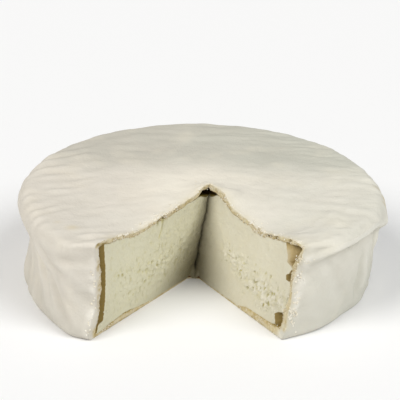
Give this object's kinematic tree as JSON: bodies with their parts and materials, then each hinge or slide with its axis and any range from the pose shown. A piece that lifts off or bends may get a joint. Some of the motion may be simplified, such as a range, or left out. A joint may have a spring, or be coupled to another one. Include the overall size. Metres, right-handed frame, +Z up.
{
  "type": "soft goat cheese",
  "caption": "Low wheel of soft goat cheese with a white bloomy rind, open where a wedge has been cut out, its cut faces showing crumbly paste.",
  "frame": {"origin": "middle of the flat underside of the cheese's box, on the surface it stands on", "axes": "+Z up out of the top rind; -Y out through the open notch, towards the viewer; +X to the right"},
  "size_m": [0.2003, 0.1767, 0.0551],
  "materials": {
    "rind": "dry white bloomy rind, matt and faintly velvety",
    "paste": "moist ivory curd, matt, with small openings"
  },
  "bodies": {
    "root": {"cheese": "rind"}
  },
  "joints": []
}
